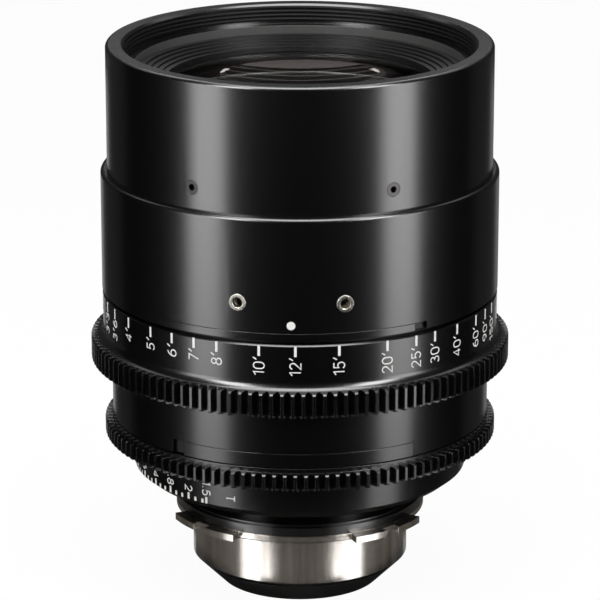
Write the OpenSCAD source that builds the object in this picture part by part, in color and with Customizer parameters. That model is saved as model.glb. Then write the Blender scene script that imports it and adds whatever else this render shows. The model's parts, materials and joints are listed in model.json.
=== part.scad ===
// Cinema prime lens with a 54 mm breech-lock mount, standing on its rear cone.
// +Z runs along the optical axis to the front, the index side faces -Y, and the
// origin is the centre of the mount's seat. Azimuth 0 is at -Y and grows towards +X.

/* [Mount] */
// Diameter of the mount barrel
mount_barrel_d = 54; // [53:0.5:57]
// Length of the mount barrel behind the seat
mount_barrel_len = 13.5; // [12:0.1:16]
// Bevel round the end of the mount barrel
mount_bevel = 1.3; // [0.5:0.1:1.6]
// Wall of the mount barrel
mount_wall = 3.8; // [3:0.1:4]
// Width of the flange's seat round the mount barrel
seat_w = 4.2; // [3.9:0.1:5.5]
// Thickness of the mount flange
flange_t = 1.7; // [1.5:0.1:2.6]
// How far the tabs stand out from the flange
tab_reach = 2.8; // [2.5:0.1:4.8]
// Angle that one flange tab covers
tab_angle = 37; // [24:1:50]
// Width of the locating notch in each tab
tab_notch_w = 4; // [2:0.5:6]
// Depth of the locating notch in each tab
tab_notch_depth = 2; // [1:0.25:2.25]
// Thickness of the flange shim
shim_t = 0.2; // [0.1:0.05:0.5]
// Height of the black spacer ring above the shim
spacer_h = 2.1; // [1.9:0.1:4]
// Width of the spacer's lip round the collar
spacer_lip_w = 0.6; // [0.4:0.1:1]
// Thickness of the collar at the foot of the neck
collar_t = 2; // [1.6:0.1:2.4]
// Height of the collar above the spacer
collar_proud = 0.6; // [0.3:0.1:1]

/* [Rear] */
// Wall of the neck
neck_wall = 2.6; // [2.1:0.1:3.6]
// Step from the bore of the mount barrel in to the bore of the neck
neck_step = 0.3; // [0.2:0.1:0.6]
// Height of the neck between its collar and its top flange
neck_h = 3.6; // [3:0.1:6]
// Width of the neck's top flange round the neck
neck_flange_w = 7.5; // [6.5:0.1:8.5]
// Thickness of the neck's top flange
neck_flange_t = 1.7; // [1.5:0.1:3]
// Length of the rear cone behind the mount barrel
shroud_len = 5.5; // [4.5:0.1:8]
// How far the rear cone narrows from the mount barrel to its rim
shroud_taper = 5.5; // [4.5:0.1:6.5]
// Width of the rim that the lens stands on
shroud_rim_w = 1.5; // [1:0.1:1.6]
// Length of the rear cone's spigot in the mount barrel
shroud_spigot_len = 3; // [2:0.1:4]

/* [Iris ring] */
// Diameter of the iris ring's lower edge
iris_foot_d = 78; // [77:0.5:80]
// Height of the sloped foot of the iris ring
iris_foot_h = 2; // [1.5:0.1:3]
// Diameter of the iris scale band
iris_band_d = 83; // [81:0.5:88]
// Height of the iris scale band
iris_band_h = 8; // [7:0.1:9]
// How far the iris gear stands out from the middle barrel
iris_gear_reach = 1.95; // [1.6:0.05:2.4]
// Width of the iris gear
iris_gear_w = 4.05; // [3.5:0.05:5]
// Height of the plain lip above the iris gear
iris_lip_h = 1.1; // [0.8:0.1:2]
// Bore of the iris ring
iris_bore_d = 73; // [72:0.2:74]
// Turn of the iris ring from wide open to closed, in degrees
iris_turn = 62; // [40:1:70]
// Module of both gears
gear_module = 0.8; // [0.78:0.01:0.82]
// Chamfer at the ends of the gear teeth
tooth_chamfer = 0.35; // [0.2:0.05:0.5]

/* [Middle barrel] */
// Step from the main barrel in to the middle barrel
mid_step = 2.25; // [1.6:0.05:2.7]
// Height of the middle barrel
mid_h = 13.65; // [12:0.05:18]
// Height of the index plate of the iris
iris_plate_h = 3.5; // [2.5:0.1:5]
// Half the angle of the recess round the iris index plate
iris_recess_angle = 38.4; // [30:0.2:60]

/* [Focus ring] */
// Step from the main barrel in to the focus scale band
focus_band_step = 0.1; // [0.05:0.05:0.4]
// Height of the focus scale band
focus_band_h = 9.3; // [8:0.1:14]
// Radius of the hollow flare between the band and the gear
flare_r = 2.1; // [1.4:0.1:2.3]
// How far the focus gear stands out from the main barrel
focus_gear_reach = 2.9; // [2.6:0.05:3.6]
// Width of the focus gear
focus_gear_w = 6; // [5:0.1:9]
// Wall of the focus ring under its scale band
focus_wall = 2; // [1.8:0.1:2.3]
// Turn of the focus ring from rest towards the near limit, in degrees
focus_turn_near = 95; // [60:1:100]
// Turn of the focus ring from rest towards the far limit, in degrees
focus_turn_far = 85; // [60:1:95]
// Travel of the focus group over a full turn of 360 degrees
focus_lead = 18; // [14:0.5:20]

/* [Main barrel] */
// Diameter of the main barrel
barrel_d = 98.2; // [94:0.1:104]
// Height of the main barrel
barrel_h = 29.8; // [27:0.1:36]
// Wall of the main barrel
barrel_wall = 3.1; // [2.9:0.1:3.3]
// Rounding of the main barrel's upper edge
barrel_round = 0.9; // [0.4:0.1:1.2]
// Height of the inner lip that carries the main barrel
barrel_lip_h = 3; // [2.4:0.1:4]
// Height of the index plate of the focus scale
focus_plate_h = 1.9; // [1.4:0.1:3]
// Half the angle of the recess round the focus index plate
focus_recess_angle = 40.5; // [30:0.5:60]
// Gap left open at one end of each index plate, in degrees
plate_end_gap = 4.2; // [2:0.1:8]
// Depth of the recesses for the index plates
plate_depth = 1.2; // [0.8:0.1:1.4]
// Outside diameter of the threaded inserts
insert_d = 4.1; // [3.6:0.1:5]
// Tapping bore of the threaded inserts
insert_bore_d = 2.5; // [2:0.1:3]
// Height of the threaded inserts above the barrel's lower edge
insert_z = 9; // [8.5:0.1:14]
// Azimuth of the threaded inserts, in degrees to each side of the index
insert_azimuth = 15; // [10:1:20]
// How far the threaded inserts stand out of the barrel
insert_proud = 0.15; // [0:0.05:0.3]

/* [Front] */
// Step from the main barrel in to the front ring
front_step = 1.6; // [1.4:0.05:2.1]
// Height of the front ring above the main barrel
front_h = 31.2; // [29:0.1:36]
// Width of the front ring's rim round the filter thread
filter_wall = 4.5; // [4:0.25:5.5]
// Depth of the filter thread
filter_depth = 5; // [4:0.1:6]
// Wall of the front ring's skirt
front_wall = 2.5; // [2.2:0.1:2.8]
// Depth that the front ring's spigot sinks into the main barrel
front_sink = 2.6; // [2:0.1:4]
// Rounding of the front ring's rim
front_round = 0.8; // [0.3:0.1:1]
// Width of the ledge below the filter thread
ledge_w = 2.5; // [2:0.25:3]
// Height of the ledge below the filter thread
ledge_h = 2.2; // [1.6:0.1:3]
// Width of the ridged baffle inside the ledge
baffle_w = 7.5; // [6.5:0.25:8.5]
// Height that the ridged baffle falls towards the glass
baffle_drop = 2.3; // [1.6:0.1:2.5]
// Number of ridges on the baffle
baffle_ridges = 5; // [3:1:8]
// Diameter of the set screws in the front ring
set_screw_d = 3.4; // [2.5:0.1:4]
// Number of set screws in the front ring
set_screw_count = 6; // [3:1:12]
// Height of the set screws above the main barrel
set_screw_z = 5.4; // [3.5:0.1:10]

/* [Iris unit] */
// Thickness of an iris blade
blade_t = 0.15; // [0.1:0.01:0.18]
// Radius at which the blades pivot
pivot_r = 29.5; // [29:0.1:30]
// Radius of the open aperture
open_r = 16; // [15.5:0.1:16.4]
// Turn of a blade from wide open to closed, in degrees
blade_turn = 23; // [18:0.5:23]
// Diameter of the blade pins
blade_pin_d = 1.4; // [1:0.1:1.6]
// Thickness of the iris base plate
base_plate_t = 2; // [1.5:0.1:3]
// Thickness of the iris actuator ring
actuator_t = 2.2; // [2:0.1:2.6]
// Diameter of the pin between iris ring and actuator ring
drive_pin_d = 1.8; // [1.4:0.1:1.9]

/* [Fits] */
// Clearance between fixed pieces that fit in each other
fit_clear = 0.1; // [0.05:0.01:0.15]
// Clearance between pieces that move past each other
run_clear = 0.4; // [0.3:0.05:0.5]
// Gap above the iris ring
iris_gap = 0.3; // [0.3:0.05:0.6]
// Gap below the focus ring
focus_low_gap = 0.4; // [0.3:0.05:0.6]
// Gap above the focus ring
focus_top_gap = 1; // [0.6:0.1:1.5]

/* [Hidden] */
$fn = 144;

// How far a cut reaches past the face that it opens
cut = 1;
// Flats that a rounded edge is made of
edge_steps = 6;

// Clearance of a pin or roller in the slot that guides it
slot_clear = 0.3;

// Small screws: shank, hole, head, drive socket, and the length that bites
screw_d = 2;
screw_hole_d = screw_d + 2 * fit_clear;
screw_head_d = 3.2;
screw_head_h = 1.2;
screw_socket_d = 1.4;
screw_count = 6;
screw_bite = 2.4;

// Gear teeth: pressure angle, depth below the pitch circle in modules, and the turn of
// each gear that puts its teeth where the index side shows them
pressure = 20;
dedendum = 1.25;
focus_gear_phase = 0.55;
iris_gear_phase = 1.16;

// Heights, from the mount's seat upwards
shim_z = flange_t;
spacer_z = shim_z + shim_t;
spacer_top = spacer_z + spacer_h;
collar_top = spacer_top + collar_proud;
collar_z = collar_top - collar_t;
neck_top = collar_top + neck_h;
floor_z = neck_top + neck_flange_t;
iris_band_z = floor_z + iris_foot_h;
iris_gear_z = iris_band_z + iris_band_h;
iris_lip_z = iris_gear_z + iris_gear_w;
iris_top = iris_lip_z + iris_lip_h;
mid_z = iris_top + iris_gap;
mid_top = mid_z + mid_h;
focus_z = mid_top + focus_low_gap;
focus_gear_top = focus_z + focus_gear_w;
focus_band_z = focus_gear_top + flare_r;
focus_top = focus_band_z + focus_band_h;
barrel_z = focus_top + focus_top_gap;
barrel_top = barrel_z + barrel_h;
front_top = barrel_top + front_h;
ledge_top = front_top - filter_depth;
front_cell_top = ledge_top - ledge_h;
shroud_z = -mount_barrel_len;

// Walls and steps between the radii
sleeve_wall = 2.3;
guide_wall = 2.3;
front_spigot_step = 0.6;
baffle_lap = 0.4;
iris_lip_inset = 0.1;

// Outer radii, from the main barrel outwards and inwards
barrel_r = barrel_d / 2;
front_r = barrel_r - front_step;
mid_r = barrel_r - mid_step;
focus_band_r = barrel_r - focus_band_step;

// Whole teeth that bring each gear out to its reach
focus_teeth = round(2 * (barrel_r + focus_gear_reach) / gear_module) - 2;
iris_teeth = round(2 * (mid_r + iris_gear_reach) / gear_module) - 2;

// Radii, from the outside inwards
mount_r = mount_barrel_d / 2;
mount_bore_r = mount_r - mount_wall;
flange_r = mount_r + seat_w;
flange_bevel = 0.35;
tab_r = flange_r + tab_reach;
collar_r = flange_r - spacer_lip_w - fit_clear;
neck_bore_r = mount_bore_r - neck_step;
neck_r = neck_bore_r + neck_wall;
neck_flange_r = neck_r + neck_flange_w;
shroud_front_r = mount_r - mount_bevel;
shroud_rear_r = shroud_front_r - shroud_taper;
iris_bore_r = iris_bore_d / 2;
iris_root_r = gear_module * (iris_teeth / 2 - dedendum);
iris_tip_r = gear_module * (iris_teeth / 2 + 1);
iris_lip_r = iris_root_r - iris_lip_inset;
focus_tip_r = gear_module * (focus_teeth / 2 + 1);
focus_bore_r = focus_band_r - focus_wall;
sleeve_r = focus_bore_r - fit_clear;
sleeve_bore_r = sleeve_r - sleeve_wall;
guide_r = sleeve_bore_r - run_clear;
guide_bore_r = guide_r - guide_wall;
cell_r = guide_bore_r - run_clear;
mid_bore_r = guide_r + fit_clear;
barrel_bore_r = barrel_r - barrel_wall;
filter_r = front_r - filter_wall;
front_bore_r = front_r - front_wall;
front_cell_r = front_bore_r - fit_clear;
front_spigot_r = front_r - front_spigot_step;
ledge_r = filter_r - ledge_w;
baffle_bore_r = ledge_r - baffle_w;
baffle_r = ledge_r + baffle_lap;

// Structure between the barrels
guide_foot_h = 4;
guide_foot_wall = 2.4;
guide_flange_h = 3.8;
washer_t = 0.8;
washer_gap = 0.2;
washer_inset = 0.4;
mid_lip_h = 0.8;
mid_lip_w = 4.8;
plate_seam = 0.15;
barrel_lip_gap = 1;
housing_flange_t = 2.6;
housing_flange_z = mid_z + mid_lip_h + fit_clear;
guide_z = housing_flange_z + housing_flange_t;
core_screw_r = guide_bore_r;
washer_top = barrel_z + washer_inset;
guide_top = washer_top + guide_flange_h;
barrel_screw_r = barrel_bore_r - fit_clear - screw_head_d / 2;
barrel_lip_r = cell_r + barrel_lip_gap;
sleeve_z = mid_top + washer_t + washer_gap;
sleeve_top = washer_top - washer_t - washer_gap;

// Focus cam and its followers
follower_count = 3;
follower_azimuth = 60;
follower_d = 2;
follower_bite = 3.5;
follower_end_gap = 0.4;
roller_d = 3.2;
follower_z = (sleeve_z + sleeve_top) / 2 - (focus_turn_near - focus_turn_far) * focus_lead / 720;
cam_slot_w = roller_d + 2 * slot_clear;
guide_slot_w = follower_d + 2 * slot_clear;
follower_seat_r = cell_r - follower_bite;
follower_end_r = sleeve_r - follower_end_gap;
drive_key_d = 3;
drive_key_drop = 3;
drive_key_depth = 1.2;
drive_key_z = sleeve_top - drive_key_drop;
focus_up = focus_turn_near * focus_lead / 360;
focus_down = focus_turn_far * focus_lead / 360;

// Focus cell, with a lens bay at each end of its web
cell_down = 10.8;
cell_up = 11.2;
cell_web = 2.2;
web_wall = 9;
front_bay_wall = 5;
rear_bay_wall = 7;
cell_low = follower_z - cell_down;
cell_high = follower_z + cell_up;
web_r = cell_r - web_wall;
front_bay_r = cell_r - front_bay_wall;
front_bay_z = follower_z + cell_web;
rear_bay_r = cell_r - rear_bay_wall;
rear_bay_z = follower_z - cell_web;

// Lenses of the focus group: outer curve, rim, and the hollow face on the web's side
focus_front_curve = 120;
focus_front_rim = 1.4;
focus_front_hollow = 3;
focus_front_hollow_curve = 200;
focus_rear_curve = 85;
focus_rear_rim = 1.2;
focus_rear_hollow = 2;
focus_rear_hollow_curve = 160;
focus_retainer_w = 2.5;
focus_retainer_set = 1;

// Front cell, with the front element above its throat and the second element below
front_seat_step = 4.4;
front_seat_depth = 10.1;
front_throat_step = 2.9;
second_seat_step = 1;
second_seat_gap = 5.5;
second_bay_h = 12;
cell_tail_step = 2.5;
front_seat_r = baffle_r - front_seat_step;
front_seat_z = front_cell_top - front_seat_depth;
front_throat_r = front_seat_r - front_throat_step;
second_seat_r = front_seat_r - second_seat_step;
second_seat_z = front_seat_z - second_seat_gap;
second_bay_z = second_seat_z - second_bay_h;
cell_tail_r = second_seat_r + cell_tail_step;
cell_tail_z = guide_top + barrel_lip_h;
baffle_rim_h = 1.6;
baffle_t = 0.8;
baffle_proud = 0.2;
baffle_top = front_cell_top + baffle_proud;
baffle_floor = baffle_top - baffle_drop - baffle_t;

// Front element: curve of its hollow front face, flat rim under the baffle, and step for the retaining ring
front_curve = 130;
front_rim_w = 0.3;
front_step_h = 1.4;
front_gap = 0.57;
front_rim_r = baffle_bore_r + front_rim_w;
front_rim_z = baffle_floor - front_gap;
front_step_z = front_rim_z - front_step_h;
front_vertex = front_rim_z - sag(front_curve, baffle_bore_r);

// Second element: curve of both faces, and thickness at the rim
second_curve = 250;
second_rim = 1.3;
second_thick = second_rim + 2 * sag(second_curve, second_seat_r - fit_clear);
second_vertex = second_seat_z - fit_clear + sag(second_curve, front_throat_r);
second_rear = second_vertex - second_thick;
retaining_ring_w = 2.5;

// Iris unit, from its floor upwards
floor_t = 1.5;
floor_step = 1.1;
floor_bore_r = neck_bore_r + floor_step;
housing_r = iris_bore_r - run_clear;
housing_wall = 2.2;
housing_bore_r = housing_r - housing_wall;
mid_lip_r = max(mid_bore_r - mid_lip_w, housing_r + run_clear);
retainer_h = 0.7;
retainer_w = 2.3;
retainer_step = 1.1;
base_z = floor_z + floor_t;
base_top = base_z + base_plate_t;
light_margin = 1.5;
light_r = open_r + light_margin;
blade_gap = 0.9;
blade_z = base_top + blade_gap;
blade_rise = 6.3;
actuator_z = blade_z + blade_rise + run_clear;
actuator_top = actuator_z + actuator_t;
actuator_mid = actuator_z + actuator_t / 2;
actuator_r = housing_bore_r - run_clear;
drive_pin_bite = 3;
drive_pin_cover = 0.5;
clamp_gap = 0.3;
clamp_z = actuator_top + clamp_gap;
clamp_t = 1.7;
clamp_margin = 0.5;
clamp_bore_r = light_r + clamp_margin;

// Iris blades: outline, pins, and the radius of the drive pin
blade_count = 9;
blade_ear_r = 2.5;
blade_tail_w = 3;
blade_root_r = pivot_r + blade_ear_r;
blade_tail_r = open_r + blade_tail_w;
blade_pin_r = blade_pin_d / 2;
pin_end_gap = 0.3;
drive_inset = 2.5;
drive_r = pivot_r - drive_inset;

// Angle that a blade covers, in degrees
blade_span = 105;
// Slope of a blade, in degrees
blade_tilt = 9;
// Azimuth of the line that a blade slopes about, in degrees
tilt_azimuth = 60;
// Azimuth of a blade's drive pin from its pivot, in degrees
drive_azimuth = 28;

// Rear cell, which hangs in the neck and the mount barrel
rear_screw_r = (neck_flange_r + neck_r) / 2;
rear_screw_bite = 1.3;
rear_cell_r = neck_bore_r - fit_clear;
rear_flange_r = floor_bore_r - 2 * fit_clear;
rear_cell_top = base_z - fit_clear;
rear_cell_step_z = -4;
rear_tail_up = 0.5;
rear_cell_low = shroud_z + rear_tail_up;
spigot_r = mount_bore_r - fit_clear;
spigot_wall = 1.5;
spigot_bore_r = spigot_r - spigot_wall;
tail_gap = 0.5;
tail_wall = 1.4;
rear_tail_r = spigot_bore_r - tail_gap;
rear_seat_r = rear_tail_r - tail_wall;
rear_throat_step = 2.6;
rear_throat_h = 2;
rear_throat_r = rear_seat_r - rear_throat_step;
rear_seat_z = rear_cell_top - rear_throat_h;

// Lenses of the rear cell, from the throat downwards
rear_lens_r = rear_seat_r - fit_clear;
rear_front_z = rear_seat_z - fit_clear;
rear_front_thick = 8;
rear_front_curve = 60;
rear_front_hollow = 1;
rear_front_hollow_curve = 120;
rear_spacer_w = 1.6;
rear_lens_gap = 3.5;
rear_spacer_top = rear_front_z - rear_front_thick - fit_clear;
rear_spacer_low = rear_spacer_top - rear_lens_gap;
rear_element_top = rear_spacer_low - fit_clear;
rear_element_curve = 48;
rear_hollow = 1.4;
rear_hollow_curve = 140;
rear_retainer_h = 1.8;
rear_retainer_w = 2.2;
rear_element_low = rear_cell_low + rear_retainer_h;

// Mount flange, its four tabs and the screws between them
tab_count = 4;
tab_azimuth = 45;
shim_inset = 0.4;
mount_screw_r = (mount_r + flange_r) / 2;
mount_screw_head_d = 3.4;
mount_screw_sink = 0.1;
mount_socket_d = 1.2;
mount_socket_depth = 0.6;
mount_hole_cover = 0.4;
mount_hole_end = collar_top - mount_hole_cover;

// Depth of the rear cone's straight bore
shroud_throat = 1.6;

black = "#1b1b1c";
dark = "#28282a";
steel = "#b9b5ae";
brass = "#b3945a";
glass = "#8f94a3";
white_metal = "#d4d4d2";

// Shared shapes

// A turned piece from its half section
module turned(points) {
    rotate_extrude() polygon(points);
}

// A plain ring between two radii and two heights
module ring(r_out, r_in, z_low, z_high) {
    turned([[r_in, z_low], [r_out, z_low], [r_out, z_high], [r_in, z_high]]);
}

// A plain disc between two heights
module disc(r, z_low, z_high) {
    translate([0, 0, z_low]) cylinder(r = r, h = z_high - z_low);
}

// Part of a ring, from one azimuth to another
module ring_sector(r_out, r_in, z_low, z_high, a_from, a_to) {
    rotate([0, 0, a_from - 90])
        rotate_extrude(angle = a_to - a_from)
            polygon([[r_in, z_low], [r_out, z_low], [r_out, z_high], [r_in, z_high]]);
}

// Stands children on a radius, pointing outwards
module radial(azimuth, r, z) {
    rotate([0, 0, azimuth]) translate([0, -r, z]) rotate([90, 0, 0]) children();
}

// Copies of children at even steps round the axis
module around(count, first = 0) {
    for (i = [0 : count - 1])
        rotate([0, 0, first + i * 360 / count]) children();
}

// A screw along Z, its head on top and its tip below
module screw(length) {
    difference() {
        union() {
            translate([0, 0, -length]) cylinder(d = screw_d, h = length + screw_head_h / 2);
            cylinder(d = screw_head_d, h = screw_head_h);
        }
        translate([0, 0, screw_head_h / 2]) cylinder(d = screw_socket_d, h = screw_head_h, $fn = 6);
    }
}

// A glass element: rims at r, curved faces that bulge where their radius is above 0
module lens(r, z_rear, z_front, rear_curve, front_curve) {
    span = z_front - z_rear;
    difference() {
        intersection() {
            translate([0, 0, z_rear - span]) cylinder(r = r, h = 3 * span);
            if (front_curve > 0)
                translate([0, 0, z_front - front_curve]) sphere(r = front_curve);
            if (rear_curve > 0)
                translate([0, 0, z_rear + rear_curve]) sphere(r = rear_curve);
        }
        if (front_curve < 0)
            translate([0, 0, z_front - front_curve]) sphere(r = -front_curve);
        if (rear_curve < 0)
            translate([0, 0, z_rear + rear_curve]) sphere(r = -rear_curve);
    }
}

// Height that a sphere of radius curve falls at radius r
function sag(curve, r) = curve - sqrt(curve * curve - r * r);

// Rounded upper outer edge of a turned piece, as points of its half section from the outside to the top
function rounded_edge(r, z, size) = [
    for (i = [0 : edge_steps])
        [r - size + size * cos(90 * i / edge_steps), z - size + size * sin(90 * i / edge_steps)]
];

// Involute gear outline: half the tooth's angle at radius r
function involute(a) = tan(a) * 180 / PI - a;
function tooth_half(r, teeth) =
    90 / teeth + involute(pressure) - involute(acos(gear_module * teeth / 2 * cos(pressure) / r));
function polar(r, a) = [r * cos(a), r * sin(a)];

module gear_profile(teeth, phase) {
    pitch_r = gear_module * teeth / 2;
    root_r = pitch_r - dedendum * gear_module;
    tip_r = pitch_r + gear_module;
    polygon([
        for (i = [0 : teeth - 1])
            for (side = [-1, 1])
                for (r = side < 0 ? [root_r, pitch_r, tip_r] : [tip_r, pitch_r, root_r])
                    polar(r, phase - 90 + i * 360 / teeth + side * tooth_half(r, teeth))
    ]);
}

// Front ring and front group

module set_screw_places() {
    for (i = [0 : set_screw_count - 1])
        radial((i + 0.5) * 360 / set_screw_count, 0, barrel_top + set_screw_z) children();
}

module front_ring() {
    mouth = 0.6;
    color(black) difference() {
        turned(concat(
            [
                [front_bore_r, barrel_top - front_sink],
                [front_spigot_r, barrel_top - front_sink],
                [front_spigot_r, barrel_top],
                [front_r, barrel_top]
            ],
            rounded_edge(front_r, front_top, front_round),
            [
                [filter_r + mouth, front_top],
                [filter_r, front_top - mouth],
                [filter_r, ledge_top],
                [ledge_r, ledge_top],
                [ledge_r, front_cell_top],
                [front_bore_r, front_cell_top]
            ]
        ));
        set_screw_places() cylinder(d = set_screw_d + fit_clear, h = front_r + cut);
    }
}

module front_ring_set_screws() {
    end_r = sqrt(front_r * front_r - set_screw_d * set_screw_d / 4);
    socket = 1.5;
    color(dark) set_screw_places() difference() {
        translate([0, 0, front_cell_r]) cylinder(d = set_screw_d, h = end_r - front_cell_r);
        translate([0, 0, end_r - socket]) cylinder(d = set_screw_d / 2, h = socket + cut, $fn = 6);
    }
}

module front_baffle() {
    crest_inset = 0.5;
    crest_r = ledge_r - crest_inset;
    pitch_r = (crest_r - baffle_bore_r) / baffle_ridges;
    pitch_z = baffle_drop / baffle_ridges;
    color(dark) turned(concat(
        [
            [baffle_bore_r, baffle_floor],
            [front_seat_r - fit_clear, baffle_floor],
            [front_seat_r - fit_clear, front_cell_top - baffle_rim_h],
            [baffle_r - fit_clear, front_cell_top - baffle_rim_h],
            [baffle_r - fit_clear, front_cell_top],
            [crest_r, front_cell_top],
            [crest_r, baffle_top]
        ],
        [
            for (i = [1 : baffle_ridges])
                for (fall = [i - 1, i])
                    [crest_r - i * pitch_r, baffle_top - fall * pitch_z]
        ]
    ));
}

module front_element() {
    color(glass, 0.6) difference() {
        turned([
            [0, front_seat_z],
            [front_seat_r - fit_clear, front_seat_z],
            [front_seat_r - fit_clear, front_step_z],
            [front_rim_r, front_step_z],
            [front_rim_r, front_rim_z],
            [0, front_rim_z]
        ]);
        translate([0, 0, front_vertex + front_curve]) sphere(r = front_curve);
    }
}

module front_retaining_ring() {
    inner_r = front_rim_r + fit_clear;
    outer_r = front_seat_r - fit_clear;
    color(dark) turned([
        [inner_r, front_step_z + fit_clear],
        [outer_r, front_step_z + fit_clear],
        [outer_r, baffle_floor - 2 * fit_clear],
        [inner_r, baffle_floor - 2 * fit_clear]
    ]);
}

module front_cell() {
    head_room = 0.3;
    step_gap = 0.5;
    step_z = barrel_top - front_sink - step_gap;
    color(black) difference() {
        turned([
            [cell_tail_r, cell_tail_z],
            [barrel_bore_r - fit_clear, cell_tail_z],
            [barrel_bore_r - fit_clear, step_z],
            [front_cell_r, step_z],
            [front_cell_r, front_cell_top],
            [baffle_r, front_cell_top],
            [baffle_r, front_cell_top - baffle_rim_h],
            [front_seat_r, front_cell_top - baffle_rim_h],
            [front_seat_r, front_seat_z],
            [front_throat_r, front_seat_z],
            [front_throat_r, second_seat_z],
            [second_seat_r, second_seat_z],
            [second_seat_r, second_bay_z],
            [cell_tail_r, second_bay_z]
        ]);
        around(screw_count)
            translate([0, -barrel_screw_r, cell_tail_z - cut])
                cylinder(d = screw_head_d + 2 * head_room, h = screw_head_h + head_room + cut);
    }
}

module second_element() {
    color(glass, 0.6)
        lens(second_seat_r - fit_clear, second_rear, second_vertex, second_curve, second_curve);
}

module second_element_retainer() {
    outer_r = second_seat_r - fit_clear;
    inner_r = outer_r - retaining_ring_w;
    face_z = second_rear - fit_clear;
    color(dark) turned([
        [inner_r, face_z + sag(second_curve, inner_r)],
        [inner_r, second_bay_z],
        [outer_r, second_bay_z],
        [outer_r, face_z + sag(second_curve, outer_r)]
    ]);
}

// Main barrel

module insert_places() {
    for (side = [-1, 1])
        radial(side * insert_azimuth, 0, barrel_z + insert_z) children();
}

module main_barrel() {
    color(black) difference() {
        turned(concat(
            [
                [barrel_bore_r, barrel_z],
                [barrel_r, barrel_z]
            ],
            rounded_edge(barrel_r, barrel_top, barrel_round),
            [
                [front_spigot_r + fit_clear, barrel_top],
                [front_spigot_r + fit_clear, barrel_top - front_sink],
                [barrel_bore_r, barrel_top - front_sink],
                [barrel_bore_r, cell_tail_z],
                [barrel_lip_r, cell_tail_z],
                [barrel_lip_r, guide_top],
                [barrel_bore_r, guide_top]
            ]
        ));
        ring_sector(barrel_r + cut, barrel_r - plate_depth, barrel_z - cut, barrel_z + focus_plate_h,
            -focus_recess_angle, focus_recess_angle);
        insert_places() cylinder(d = insert_d, h = barrel_r + cut);
        around(screw_count)
            translate([0, -barrel_screw_r, guide_top - cut])
                cylinder(d = screw_hole_d, h = barrel_lip_h + 2 * cut);
    }
}

module main_barrel_screws() {
    color(steel) around(screw_count)
        translate([0, -barrel_screw_r, cell_tail_z]) screw(barrel_lip_h + screw_bite);
}

module accessory_inserts() {
    color(white_metal) insert_places() difference() {
        translate([0, 0, barrel_bore_r + fit_clear])
            cylinder(d = insert_d, h = barrel_wall + insert_proud - fit_clear);
        cylinder(d = insert_bore_d, h = barrel_r + cut);
    }
}

module focus_index_plate() {
    color(black)
        ring_sector(barrel_r, barrel_r - plate_depth + fit_clear,
            barrel_z, barrel_z + focus_plate_h - fit_clear,
            plate_seam - focus_recess_angle, focus_recess_angle - plate_end_gap);
}

// Guide tube and slide washers

module guide_tube() {
    slot_low = follower_z - focus_down;
    slot_high = follower_z + focus_up;
    color(dark) difference() {
        turned([
            [guide_bore_r - guide_foot_wall, guide_z],
            [guide_r, guide_z],
            [guide_r, washer_top],
            [barrel_bore_r - fit_clear, washer_top],
            [barrel_bore_r - fit_clear, guide_top],
            [guide_bore_r, guide_top],
            [guide_bore_r, guide_z + guide_foot_h],
            [guide_bore_r - guide_foot_wall, guide_z + guide_foot_h]
        ]);
        around(follower_count, follower_azimuth) {
            for (z = [slot_low, slot_high])
                translate([0, 0, z]) rotate([90, 0, 0]) cylinder(d = guide_slot_w, h = guide_r + cut);
            translate([-guide_slot_w / 2, -guide_r - cut, slot_low])
                cube([guide_slot_w, guide_r + cut, slot_high - slot_low]);
        }
        around(screw_count)
            translate([0, -barrel_screw_r, guide_top - screw_bite])
                cylinder(d = screw_d, h = screw_bite + cut);
        around(screw_count)
            translate([0, -core_screw_r, guide_z - cut])
                cylinder(d = screw_d, h = screw_bite + cut);
    }
}

module upper_slide_washer() {
    color(white_metal)
        ring(barrel_bore_r - run_clear, guide_r + fit_clear, washer_top - washer_t, washer_top);
}

module lower_slide_washer() {
    color(white_metal)
        ring(focus_bore_r - run_clear, mid_bore_r, mid_top, mid_top + washer_t);
}

// Focus ring, cam sleeve and focus group

module drive_key_places() {
    around(follower_count, follower_azimuth)
        translate([0, 0, drive_key_z]) rotate([90, 0, 0]) children();
}

module focus_ring() {
    edge = 0.4;
    color(black) difference() {
        intersection() {
            union() {
                turned([
                    [0, focus_z],
                    [focus_tip_r - tooth_chamfer, focus_z],
                    [focus_tip_r, focus_z + tooth_chamfer],
                    [focus_tip_r, focus_gear_top - tooth_chamfer],
                    [focus_tip_r - tooth_chamfer, focus_gear_top],
                    [focus_band_r, focus_gear_top],
                    [focus_band_r, focus_top - edge],
                    [focus_band_r - edge, focus_top],
                    [0, focus_top]
                ]);
                difference() {
                    ring(focus_band_r + flare_r, focus_band_r - cut, focus_gear_top, focus_band_z);
                    rotate_extrude() translate([focus_band_r + flare_r, focus_band_z]) circle(r = flare_r);
                }
            }
            translate([0, 0, focus_z - cut])
                linear_extrude(focus_top - focus_z + 2 * cut) gear_profile(focus_teeth, focus_gear_phase);
        }
        disc(focus_bore_r, focus_z - cut, focus_top + cut);
        drive_key_places() cylinder(d = drive_key_d, h = focus_bore_r + drive_key_depth);
    }
}

module focus_drive_keys() {
    inner_r = sleeve_bore_r + fit_clear;
    color(steel) drive_key_places()
        translate([0, 0, inner_r])
            cylinder(d = drive_key_d, h = focus_bore_r + drive_key_depth - inner_r);
}

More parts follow.
